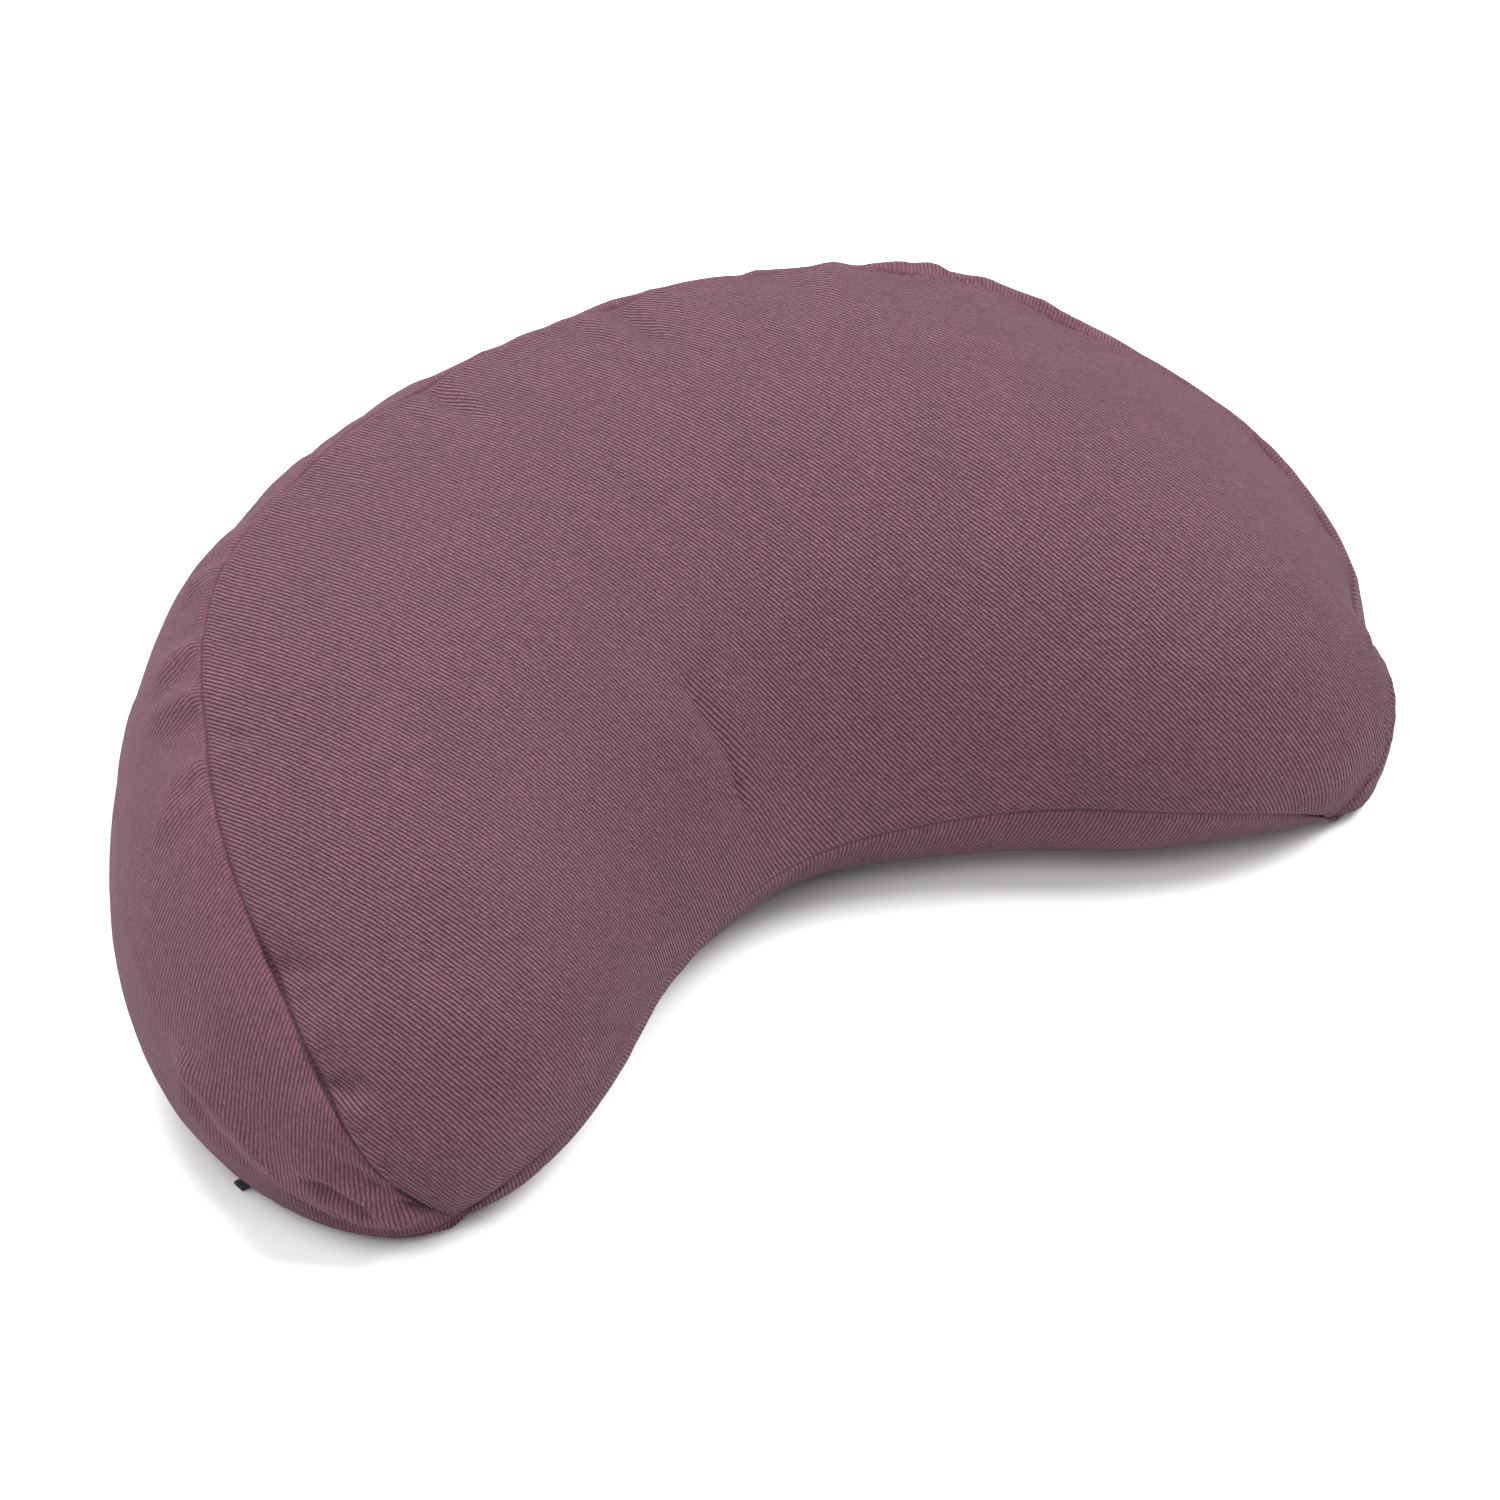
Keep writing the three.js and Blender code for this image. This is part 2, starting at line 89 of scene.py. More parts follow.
# Soft ridges (height > 0) and creases (height < 0): panel, line of places (along, across as shares), height, half width
FOLDS = (
    ("band", ((0.674, 0.0), (0.679, 0.03), (0.685, 0.065)), 1.6, 4.0),
    ("band", ((0.692, 0.0), (0.696, 0.04), (0.702, 0.08)), -1.2, 5.0),
    ("band", ((0.711, 0.0), (0.715, 0.04), (0.720, 0.09)), 2.0, 4.5),
    ("band", ((0.724, 0.0), (0.727, 0.09)), -1.0, 3.8),
    ("band", ((0.738, 0.0), (0.737, 0.10)), 1.9, 4.5),
    ("band", ((0.753, 0.0), (0.755, 0.09)), -0.9, 4.0),
    ("band", ((0.770, 0.0), (0.776, 0.05), (0.786, 0.11)), 1.8, 4.5),
    ("band", ((0.788, 0.0), (0.796, 0.08)), -1.2, 4.5),
    ("band", ((0.866, 0.40), (0.888, 0.44), (0.909, 0.53), (0.919, 0.62), (0.939, 0.60), (0.954, 0.58), (0.967, 0.42), (0.975, 0.12)), 4.6, 4.6),
    ("band", ((0.872, 0.52), (0.895, 0.58), (0.912, 0.67), (0.928, 0.76), (0.945, 0.74)), -3.4, 5.0),
    ("band", ((0.925, 0.46), (0.931, 0.38), (0.943, 0.27), (0.956, 0.33), (0.965, 0.30)), 3.2, 3.8),
    ("band", ((0.930, 0.50), (0.944, 0.42), (0.957, 0.44)), -2.8, 3.6),
    ("band", ((0.948, 0.20), (0.955, 0.08)), -1.6, 3.5),
    ("band", ((0.715, 0.28), (0.750, 0.323), (0.790, 0.355), (0.833, 0.38), (0.866, 0.40)), 1.6, 5.0),
    ("band", ((0.720, 0.38), (0.755, 0.42), (0.795, 0.45), (0.838, 0.48)), -1.2, 6.0),
    ("top", ((0.758, 0.96), (0.752, 0.91)), -1.5, 3.0),
    ("top", ((0.861, 0.95), (0.864, 0.86)), -1.2, 8.0),
    ("top", ((0.884, 0.97), (0.882, 0.86)), 0.7, 8.0),
    ("top", ((0.906, 0.94), (0.908, 0.85)), -1.8, 7.5),
    ("top", ((0.922, 0.95), (0.918, 0.84)), 2.2, 4.2),
    ("top", ((0.838, 0.66), (0.826, 0.43)), -1.6, 11.0),
    ("top", ((0.568, 0.31), (0.564, 0.26), (0.556, 0.18), (0.561, 0.11)), -3.1, 3.8),
    ("top", ((0.545, 0.34), (0.540, 0.22), (0.541, 0.10)), 0.9, 7.0),
    ("top", ((0.592, 0.30), (0.584, 0.16)), 0.6, 8.0),
    ("top", ((0.547, 0.97), (0.549, 0.90)), -2.0, 4.5),
    ("top", ((0.558, 0.97), (0.560, 0.91)), 1.5, 4.0),
    ("top", ((0.460, 0.97), (0.452, 0.88)), -2.4, 5.0),
    ("top", ((0.472, 0.97), (0.466, 0.89)), 1.8, 5.0),
    ("top", ((0.365, 0.97), (0.372, 0.90)), 2.0, 6.0),
    ("top", ((0.104, 0.97), (0.094, 0.88), (0.088, 0.78)), 2.2, 5.0),
    ("top", ((0.085, 0.97), (0.080, 0.88)), -1.8, 5.0),
)


# ------------------------------------------------------------------ curves
def ramp(t):
    c = np.clip(t, 0, 1)
    return c * c * (3 - 2 * c)


def unit(v):
    return v / np.maximum(np.linalg.norm(v, axis=-1, keepdims=True), 1e-12)


def natural(x, y):
    """Natural cubic spline through y (n or n x m) at stations x."""
    x, y = np.asarray(x, float), np.asarray(y, float)
    y = y.reshape(len(x), -1)
    n, h = len(x), np.diff(x)
    a, r = np.eye(n), np.zeros_like(y)
    for i in range(1, n - 1):
        a[i, i - 1 : i + 2] = h[i - 1], 2 * (h[i - 1] + h[i]), h[i]
        r[i] = 6 * ((y[i + 1] - y[i]) / h[i] - (y[i] - y[i - 1]) / h[i - 1])
    m = np.linalg.solve(a, r)

    def value(t):
        i = np.clip(np.searchsorted(x, t, side="right") - 1, 0, n - 2)
        p = ((x[i + 1] - t) / h[i])[:, None]
        q = 1 - p
        return p * y[i] + q * y[i + 1] + ((p**3 - p) * m[i] + (q**3 - q) * m[i + 1]) * h[i][:, None] ** 2 / 6

    return value


def seam(half):
    """A seam by its share of length, from the right horn over the middle of the back to the left horn."""
    whole = np.vstack([half, half[-2::-1] * (-1, 1, 1)])
    s = np.concatenate([[0], np.cumsum(np.linalg.norm(np.diff(whole, axis=0), axis=1))])
    fine = natural(s, whole)(np.linspace(0, s[-1], 1201))
    run = np.concatenate([[0], np.cumsum(np.linalg.norm(np.diff(fine, axis=0), axis=1))])
    return lambda u: np.stack([np.interp(np.clip(u, 0, 1) * run[-1], run, fine[:, k]) for k in range(3)], -1)


def between(at, y):
    """A curve through a table that doesn't overshoot it and is level at its last station."""
    at, y = np.array(at, float), np.array(y, float)
    h = np.diff(at)
    d = np.diff(y) / h
    last = len(h) - 1
    m = [d[0]]
    for i in range(1, last + 1):
        p, q = 2 * h[i] + h[i - 1], h[i] + 2 * h[i - 1]
        m.append(0.0 if d[i - 1] * d[i] <= 0 else (p + q) / (p / d[i - 1] + q / d[i]))
    m = np.array(m + [0.0])

    def value(x):
        i = np.clip(np.searchsorted(at[1:], x, side="left"), 0, last)
        t = np.clip((x - at[i]) / h[i], 0, 1)
        return (y[i] * (1 + 2 * t) * (1 - t) ** 2 + y[i + 1] * (3 - 2 * t) * t * t
                + m[i] * h[i] * t * (1 - t) ** 2 - m[i + 1] * h[i] * t * t * (1 - t))

    return value


outer, inner, lower = seam(OUTER_SEAM), seam(INNER_SEAM), seam(LOWER_SEAM)
bulge = {k: between(BAND_AT, v) for k, v in BAND_BULGE.items()}
swell = {k: between(SWELL_AT, v) for k, v in SWELL.items()}
HORN_Z = OUTER_SEAM[0, 2]
WIDEST = np.linalg.norm(outer(np.array([0.5])) - inner(np.array([0.5])))


# ------------------------------------------------------------------ the body's grid
def stations(n, ends):
    """n + 1 shares from 0 to 1 that stand closer together at both ends."""
    t = np.arange(n + 1) / n
    return t - ends * np.sin(2 * np.pi * t) / (2 * np.pi)


def body_grid(u, v, w, heel_t, flat_t, lip_t):
    """Cross sections at the shares u, each from the inner seam over the top, down the band and back under."""
    e = 2 * np.minimum(u, 1 - u)
    right = u < 0.5
    a, b, c = inner(u), outer(u), lower(u)
    across = b - a
    way = lambda f: unit(f(u + 2e-3) - f(u - 2e-3))
    up = unit(np.cross(across, unit(way(inner) + way(outer))))
    up = np.where((up[:, 2] - 0.5 * up[:, 1] < 0)[:, None], -up, up)
    crown = CROWN * (np.linalg.norm(across, axis=1) / WIDEST) ** CROWN_TAPER * ramp(e / HORN_ROUND) ** 0.5
    lift = (4 * v * (1 - v)) ** CROWN_FULLNESS * (1 + CROWN_LEAN * (1 - 2 * v))
    top = a[:, None] + across[:, None] * v[None, :, None] + up[:, None] * (crown[:, None] * lift)[..., None]

    t = way(outer)
    out = unit(np.stack([t[:, 1], -t[:, 0], 0 * t[:, 0]], 1))
    push = np.where(right, bulge["right"](e), bulge["left"](e)) * ramp(e / 0.05) ** 0.5
    full = (4 * w * (1 - w)) ** BAND_FULLNESS * (1 + BAND_SAG * (2 * w - 1))
    band = b[:, None] + (c - b)[:, None] * w[None, :, None] + out[:, None] * (push[:, None] * full)[..., None]

    floor = np.minimum(HORN_Z * (1 - ramp(e / HORN_LIFT)), 0.8 * c[:, 2])[:, None]
    under = (a - c) * (1, 1, 0)
    run = np.linalg.norm(under, axis=1)[:, None]
    under /= run
    heel = np.minimum(HEEL_RUN, 0.35 * run)
    lip = np.minimum(LIP_RUN, 0.45 * run)
    proud = (np.where(right, swell["right"](e), swell["left"](e)) * ramp(e / 0.1))[:, None]

    def below(s, z):
        p = c[:, None] + under[:, None] * s[..., None]
        p[..., 2] = z
        return p

    th, tl = heel_t * np.pi / 2, lip_t * np.pi / 2
    foot = below(heel * (1 - np.cos(th)), floor + (c[:, 2:] - floor) * (1 - np.sin(th)))
    flat = below(heel + (run - lip - heel) * flat_t, floor + 0 * flat_t)
    edge = below(run - lip * (1 - np.cos(tl)) + proud * np.sin(2 * tl), floor + (a[:, 2:] - floor) * (1 - np.sin(tl)))
    return np.concatenate([top, band, foot, flat, edge], 1)


def normals_of(p):
    along = np.gradient(p, axis=0)
    across = np.roll(p, -1, 1) - np.roll(p, 1, 1)
    n = unit(np.cross(across, along))
    # the top of the middle section points up
    return n if n[len(p) // 2, TOP // 2, 2] > 0 else -n


t = np.arange(1, RINGS) / RINGS
U = t - 0.05 * np.sin(2 * np.pi * t)
V = stations(TOP, 0.82)
W = stations(BAND, 0.88)[1:]
HEEL_T = np.arange(1, HEEL + 1) / HEEL
FLAT_T = np.arange(1, FLAT + 1) / FLAT
LIP_T = (np.arange(LIP - 1, 0, -1) / LIP) ** 1.35
E = 2 * np.minimum(U, 1 - U)
grid = body_grid(U, V, W, HEEL_T, FLAT_T, LIP_T)
COLUMNS = grid.shape[1]
# How far the outer seam's line lies further down the band than the bag's edge: at, mm. On the right and at the middle
# of the back the top panel is pulled over the edge.
SLIDE = ((0.0, 0.0), (0.060, 0.0), (0.078, 10.0), (0.106, 13.5), (0.150, 13.5), (0.205, 12.0), (0.222, 10.0), (0.246, 0.0),
         (0.336, 0.0), (0.352, 6.0), (0.455, 7.0), (0.478, 2.0), (0.540, 2.0), (0.560, 0.0), (1.0, 0.0))


def slid(grid):
    """The same body with the seam's line moved over it, and a softer edge where the line was."""
    out = grid.copy()
    ways = np.interp(U, *zip(*SLIDE))
    for i in np.nonzero(ways > 0.05)[0]:
        p = grid[i, : TOP + BAND + 1]
        s = np.concatenate([[0], np.cumsum(np.linalg.norm(np.diff(p, axis=0), axis=1))])
        fine = np.linspace(0, s[-1], 1201)
        q = np.stack([np.interp(fine, s, p[:, k]) for k in range(3)], -1)
        reach = int(9.0 / (fine[1] - fine[0]))
        kernel = np.exp(-0.5 * (np.arange(-reach, reach + 1) / (reach / 2.4)) ** 2)
        kernel /= kernel.sum()
        padded = np.concatenate([q[:1].repeat(reach, 0), q, q[-1:].repeat(reach, 0)])
        soft = np.stack([np.convolve(padded[:, k], kernel, "valid") for k in range(3)], -1)
        share = (np.exp(-(((fine - s[TOP]) / 12.0) ** 2)) * min(1.0, ways[i] / 4.0))[:, None]
        q = q + (soft - q) * share
        a = s[TOP] + ways[i]
        t = np.concatenate([s[: TOP + 1] * a / s[TOP], a + (s[TOP + 1 :] - s[TOP]) * (s[-1] - a) / (s[-1] - s[TOP])])
        out[i, : TOP + BAND + 1] = np.stack([np.interp(t, fine, q[:, k]) for k in range(3)], -1)
    return out


grid = slid(grid)
low = grid.reshape(-1, 3).min(0)
high = grid.reshape(-1, 3).max(0)


def cad_shift():
    """Where the part's source puts this grid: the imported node's box, found again from the same sections."""
    a, b = (np.array(corner) * 1000 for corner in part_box("cushion"))
    t = np.arange(1, 96) / 96
    u = t - 0.05 * np.sin(2 * np.pi * t)
    coarse = body_grid(u, np.arange(21) / 20, np.arange(1, 12) / 11, np.arange(1, 5) / 4, np.arange(1, 6) / 5,
                       np.arange(4, 0, -1) / 5).reshape(-1, 3)
    middle = (coarse.min(0) + coarse.max(0)) / 2
    return np.array([(a[0] + b[0]) / 2 - middle[0], (a[1] + b[1]) / 2 - middle[1], a[2] - coarse[:, 2].min()])


SHIFT = cad_shift()

# ------------------------------------------------------------------ fabric coordinates
# Each panel is flattened to the shape that it was cut to, so that the weave lies on it as on the real cloth.
SPANS = {"top": (0, TOP + 1), "band": (TOP, TOP + BAND + 1), "under": (TOP + BAND, COLUMNS + 1)}


def flatten(points, start, rounds=30):
    """As-rigid-as-possible flattening of a grid of points (n x m x 3), from a first guess (n x m x 2)."""
    n, m, _ = points.shape
    p, q = points.reshape(-1, 3), start.reshape(-1, 2).copy()
    i, j = np.arange(n - 1)[:, None], np.arange(m - 1)[None]
    a, b, c, d = (x.ravel() for x in (i * m + j, i * m + j + 1, (i + 1) * m + j + 1, (i + 1) * m + j))
    f = np.vstack([np.stack([a, b, c], 1), np.stack([a, c, d], 1), np.stack([a, b, d], 1), np.stack([b, c, d], 1)])
    e1, e2 = p[f[:, 1]] - p[f[:, 0]], p[f[:, 2]] - p[f[:, 0]]
    length = np.linalg.norm(e1, axis=1)
    x = e1 / length[:, None]
    y = np.cross(unit(np.cross(e1, e2)), x)
    local = np.zeros((len(f), 3, 2))
    local[:, 1, 0] = length
    local[:, 2, 0], local[:, 2, 1] = (e2 * x).sum(1), (e2 * y).sum(1)
    # faces of the guess that are turned the other way would fold over
    g = q[f]
    turn = np.sign(np.median((g[:, 1, 0] - g[:, 0, 0]) * (g[:, 2, 1] - g[:, 0, 1])
                             - (g[:, 1, 1] - g[:, 0, 1]) * (g[:, 2, 0] - g[:, 0, 0])))
    local[:, :, 1] *= turn
    weight = np.zeros((len(f), 3))
    for k in range(3):
        s, t = local[:, (k + 1) % 3] - local[:, k], local[:, (k + 2) % 3] - local[:, k]
        weight[:, k] = (s * t).sum(1) / np.maximum(np.abs(s[:, 0] * t[:, 1] - s[:, 1] * t[:, 0]), 1e-9)
    weight = np.clip(weight, 0.02, 50)
    laplace = np.eye(len(p)) * 1e-7
    for k in range(3):
        s, t, w = f[:, (k + 1) % 3], f[:, (k + 2) % 3], weight[:, k]
        np.add.at(laplace, (s, s), w)
        np.add.at(laplace, (t, t), w)
        np.add.at(laplace, (s, t), -w)
        np.add.at(laplace, (t, s), -w)
    solve = np.linalg.inv(laplace)
    for _ in range(rounds):
        s = np.zeros((len(f), 2, 2))
        for k in range(3):
            g, h = (k + 1) % 3, (k + 2) % 3
            s += weight[:, k, None, None] * np.einsum("ni,nj->nij", q[f[:, g]] - q[f[:, h]], local[:, g] - local[:, h])
        cos, sin = s[:, 0, 0] + s[:, 1, 1], s[:, 1, 0] - s[:, 0, 1]
        r = np.hypot(cos, sin)
        cos, sin = cos / r, sin / r
        turnings = np.stack([np.stack([cos, -sin], 1), np.stack([sin, cos], 1)], 1)
        right_side = np.zeros_like(q)
        for k in range(3):
            g, h = (k + 1) % 3, (k + 2) % 3
            d = np.einsum("nij,nj->ni", turnings, local[:, g] - local[:, h]) * weight[:, k, None]
            np.add.at(right_side, f[:, g], d)
            np.add.at(right_side, f[:, h], -d)
        q = solve @ right_side
    # back to the guess's place and turn
    g = start.reshape(-1, 2)
    q -= q.mean(0)
    z = (q[:, 0] - 1j * q[:, 1]) @ ((g - g.mean(0)) @ np.array([1, 1j]))
    z /= abs(z)
    q = q @ np.array([[z.real, z.imag], [-z.imag, z.real]]) + g.mean(0)
    return q.reshape(n, m, 2)


def panel_map(name, rows=64, columns=20):
    """Fabric coordinates in mm of every grid point of a panel."""
    first, last = SPANS[name]
    pick = np.arange(first, last) % COLUMNS
    p = grid[:, pick]
    i = np.unique(np.round(np.linspace(0, len(U) - 1, rows)).astype(int))
    j = np.unique(np.round(np.linspace(0, len(pick) - 1, columns)).astype(int))
    coarse = p[np.ix_(i, j)]
    if name == "band":
        run = np.concatenate([[0], np.cumsum(np.linalg.norm(np.diff(coarse[:, len(j) // 2], axis=0), axis=1))])
        drop = np.cumsum(np.linalg.norm(np.diff(coarse, axis=1, prepend=coarse[:, :1]), axis=2), axis=1)
        start = np.stack([np.broadcast_to(run[:, None], drop.shape), -drop + drop[:, -1:] * 0.5], -1)
    else:
        start = coarse[..., :2].copy()
    flat = flatten(coarse, start)
    to_rows = natural(i, np.eye(len(i)))(np.arange(len(U)).astype(float))
    to_columns = natural(j, np.eye(len(j)))(np.arange(len(pick)).astype(float))
    return np.einsum("ia,abk,jb->ijk", to_rows, flat, to_columns)


MAPS = {name: panel_map(name) for name in SPANS}


# ------------------------------------------------------------------ cloth relief
def seam_distance(name):
    """Distance in mm of a panel's grid points from its first and its last seam, measured across the cloth."""
    first, last = SPANS[name]
    p = grid[:, np.arange(first, last) % COLUMNS]
    step = np.linalg.norm(np.diff(p, axis=1), axis=2)
    run = np.concatenate([np.zeros((len(U), 1)), np.cumsum(step, axis=1)], 1)
    return run, run[:, -1:] - run


SHARES = {"top": V, "band": np.concatenate([[0], W]), "under": np.linspace(0, 1, SPANS["under"][1] - SPANS["under"][0])}
NEAR = {name: seam_distance(name) for name in SPANS}
NEAREST = np.full(grid.shape[:2], 1e3)
for name, (first, last) in SPANS.items():
    pick = np.arange(first, last) % COLUMNS
    NEAREST[:, pick] = np.minimum(NEAREST[:, pick], np.minimum(*NEAR[name]))
RUN = {  # length along each seam in mm, for every section
    "outer": U * OUTER_LENGTH,
    "inner": U * INNER_LENGTH,
    "lower": np.concatenate([[0], np.cumsum(np.linalg.norm(np.diff(lower(U), axis=0), axis=1))]),
}
HORNS = ramp(E / 0.06)[:, None]


def place_on(name, at, share):
    return MAPS[name][np.abs(U - at).argmin(), np.abs(SHARES[name] - share).argmin()]


def relief():
    """How far each grid point stands out of the smooth body, in mm."""
    h = np.zeros(grid.shape[:2])
    band = slice(TOP + 1, TOP + BAND + 1)
    for panel, at, depth, half_width, reach in SEAM_TROUGHS:
        g = depth * np.exp(-(((U - at) * OUTER_LENGTH / half_width) ** 2))[:, None]
        if panel == "top":
            h[:, : TOP + 1] -= g * ramp(1 - (1 - V) / reach)
        else:
            h[:, band] -= g * ramp(1 - W / reach)
    for at, depth, half_width, reach in INNER_TROUGHS:
        # the shallower ones are drawn deeper than in the solid
        g = (2.0 * depth / (1 + 0.3 * depth**1.5)) * np.exp(-(((U - at) * INNER_LENGTH / half_width) ** 2))[:, None]
        h[:, : TOP + 1] -= g * ramp(1 - V / reach) * ramp(V / 0.06)
    for at, half_width, height, away in ROLLS:
        along = np.exp(-(((U - at) / half_width) ** 4))[:, None]
        gap = NEAR["band"][0][:, 1:]
        h[:, band] += height * along * np.exp(-(((gap - away) / 3.4) ** 2))
        h[:, TOP - 3 : TOP + 2] -= 0.35 * height * along
    for panel, places, height, half_width in FOLDS:
        first, last = SPANS[panel]
        pick = np.arange(first, last) % COLUMNS
        m = MAPS[panel]
        line = np.array([place_on(panel, *place) for place in places])
        fine = natural(np.arange(len(line)), line)(np.linspace(0, len(line) - 1, 60)) if len(line) > 2 else np.linspace(line[0], line[1], 60)
        run = np.concatenate([[0], np.cumsum(np.linalg.norm(np.diff(fine, axis=0), axis=1))])
        d2 = ((m[:, :, None] - fine) ** 2).sum(-1)
        s = run[d2.argmin(-1)]
        # it fades at both ends and is lower near the seams
        fade = ramp((s + 0.9 * half_width) / (1.3 * half_width)) * ramp((run[-1] + 0.9 * half_width - s) / (1.3 * half_width))
        hold = ramp(np.minimum(*NEAR[panel]) / 3.5)
        h[:, pick] += height * np.exp(-d2.min(-1) / half_width**2) * fade * hold
    return h * HORNS


def gathers(seed=11):
    """Small uneven puckers where the cloth is gathered into its seams, in mm."""
    rng = np.random.default_rng(seed)
    h = np.zeros(grid.shape[:2])
    sides = (  # panel, which of its seams, which run, spacing, height, reach (mm)
        ("top", 1, "outer", 12.0, 0.55, 15.0),
        ("band", 0, "outer", 10.0, 0.75, 17.0),
        ("band", 1, "lower", 13.0, 0.6, 14.0),
        ("under", 0, "lower", 13.0, 0.3, 10.0),
        ("under", 1, "inner", 9.0, 0.6, 9.0),
        ("top", 0, "inner", 10.0, 0.4, 12.0),
    )
    for panel, edge, run_name, spacing, height, reach in sides:
        first, last = SPANS[panel]
        pick = np.arange(first, last) % COLUMNS
        d = NEAR[panel][edge]
        run = RUN[run_name]
        x = run[0] + spacing * rng.uniform(0.3, 1.0)
        while x < run[-1]:
            width = spacing * rng.uniform(0.22, 0.42)
            slant = rng.normal(0, 0.28)
            far = reach * rng.uniform(0.5, 1.5)
            up = height * rng.choice([-1.0, -0.8, 0.7, 1.0]) * rng.uniform(0.3, 1.0)
            off = (run[:, None] - x - slant * d) / (width * (1 + 0.6 * d / reach))
            h[:, pick] += up * np.exp(-(off**2)) * ramp(d / 3.0) * np.exp(-((d / far) ** 2))
            x += spacing * rng.uniform(0.55, 1.5)
    return h * HORNS


def blurred(field, rings, columns):
    """A field on the grid, smoothed by a Gaussian of that many rings and columns."""
    def kernel(s):
        r = int(3 * s)
        k = np.exp(-0.5 * (np.arange(-r, r + 1) / s) ** 2)
        return k / k.sum(), r

    k, r = kernel(rings)
    padded = np.concatenate([field[:1].repeat(r, 0), field, field[-1:].repeat(r, 0)])
    out = sum(k[a] * padded[a : a + len(field)] for a in range(2 * r + 1))
    k, r = kernel(columns)
    return sum(k[a] * np.roll(out, a - r, axis=1) for a in range(2 * r + 1))


def body_mesh(name, points, tips, scale):
    """The closed mesh of a grid of points with the two horn tips, facing outwards. Also tells if faces were turned."""
    rows, columns = points.shape[:2]
    i, j = np.arange(rows - 1)[:, None], np.arange(columns)[None]
    k = (j + 1) % columns
    quads = np.stack([i * columns + j, i * columns + k, (i + 1) * columns + k, (i + 1) * columns + j], -1).reshape(-1, 4)
    j, k = j[0], k[0]
    last, right, left = (rows - 1) * columns, rows * columns, rows * columns + 1
    fans = np.concatenate([np.stack([0 * j + right, k, j], 1), np.stack([0 * j + left, last + j, last + k], 1)])
    verts = np.concatenate([points.reshape(-1, 3), tips])
    a, b, c = (verts[quads[:, n]] for n in range(3))
    turned = np.einsum("ij,ij->", a, np.cross(b, c)) < 0
    if turned:
        quads, fans = quads[:, ::-1], fans[:, ::-1]
    mesh = bpy.data.meshes.new(name)
    mesh.from_pydata((verts * scale).tolist(), [], quads.tolist() + fans.tolist())
    mesh.update()
    return mesh, turned


def cloth_wrinkles(points, tips, near, e, flat, frames=20, enlarge=0.01):
    """Blender's cloth, blown up from inside with a little spare cloth at the seams. Returns how each point moved, in mm.
    It works on a tenfold enlarged copy, because the solver's forces suit cloths of a few metres."""
    mesh, _ = body_mesh("cushion_cloth", points, tips, enlarge)
    ob = bpy.data.objects.new("cushion_cloth", mesh)
    bpy.context.scene.collection.objects.link(ob)
    near, e, flat = (np.append(x.ravel(), [0, 0]) for x in (near, np.repeat(e, points.shape[1]), flat))
    hold = (near < 0.5) | (e < 0.03) | (flat > 0)
    spare = np.exp(-near / 30.0) * ramp((e - 0.03) / 0.05)
    for group, weights in (("hold", hold * 1.0), ("spare", spare)):
        vg = ob.vertex_groups.new(name=group)
        level = np.round(weights * 20).astype(int)
        for value in range(1, 21):
            vg.add(np.nonzero(level == value)[0].tolist(), value / 20, "REPLACE")
    cloth = ob.modifiers.new("Cloth", "CLOTH")
    s = cloth.settings
    s.quality = 4
    s.mass = 0.1
    s.tension_stiffness = s.compression_stiffness = 15
    s.shear_stiffness = 5
    s.bending_model = "ANGULAR"
    s.bending_stiffness = 0.08
    s.tension_damping = s.compression_damping = s.shear_damping = 2
    s.use_pressure = True
    s.uniform_pressure_force = 4
    s.vertex_group_mass = "hold"
    s.vertex_group_shrink = "spare"
    s.shrink_min = 0.0
    s.shrink_max = -0.12
    s.effector_weights.gravity = 0
    cloth.collision_settings.use_collision = False
    cloth.collision_settings.use_self_collision = False
    cloth.point_cache.frame_start = 1
    cloth.point_cache.frame_end = frames
    scene = bpy.context.scene
    for f in range(1, frames + 1):
        scene.frame_set(f)
    got = ob.evaluated_get(bpy.context.evaluated_depsgraph_get())
    co = np.zeros(len(mesh.vertices) * 3, np.float32)
    got.data.vertices.foreach_get("co", co)
    scene.frame_set(1)
    bpy.data.objects.remove(ob)
    bpy.data.meshes.remove(mesh)
    return (co.reshape(-1, 3)[:-2] / enlarge).reshape(points.shape) - points


def simulated(points, tips, step=2):
    """The fine wrinkles of the simulated cloth, found on every second ring and column and spread over the grid."""
    rings, columns = np.arange(0, len(U), step), np.arange(0, COLUMNS, step)
    flat = np.zeros(grid.shape[:2])
    flat[:, TOP + BAND + HEEL : TOP + BAND + HEEL + FLAT + 1] = 1
    moved = cloth_wrinkles(points[::step, ::step], tips, NEAREST[::step, ::step], E[::step], flat[::step, ::step])
    moved = moved - blurred(moved, 16 / step, 12 / step)
    size = np.linalg.norm(moved, axis=-1, keepdims=True)
    moved *= np.minimum(1, 4.0 / np.maximum(size, 1e-6))
    around = np.concatenate([columns[-6:] - COLUMNS, columns, columns[:6] + COLUMNS])
    moved = np.concatenate([moved[:, -6:], moved, moved[:, :6]], 1)
    to_rings = natural(rings, np.eye(len(rings)))(np.arange(len(U)).astype(float))
    to_columns = natural(around, np.eye(len(around)))(np.arange(COLUMNS).astype(float))
    return np.einsum("ia,abk,jb->ijk", to_rings, moved, to_columns)


def seam_lines():
    """The drawn-in seam between two panels and the soft edge beside it, in mm."""
    d = NEAREST
    return (0.35 * np.exp(-(((d - 2.8) / 1.7) ** 2)) - 0.6 * np.exp(-((d / 1.0) ** 2))) * HORNS


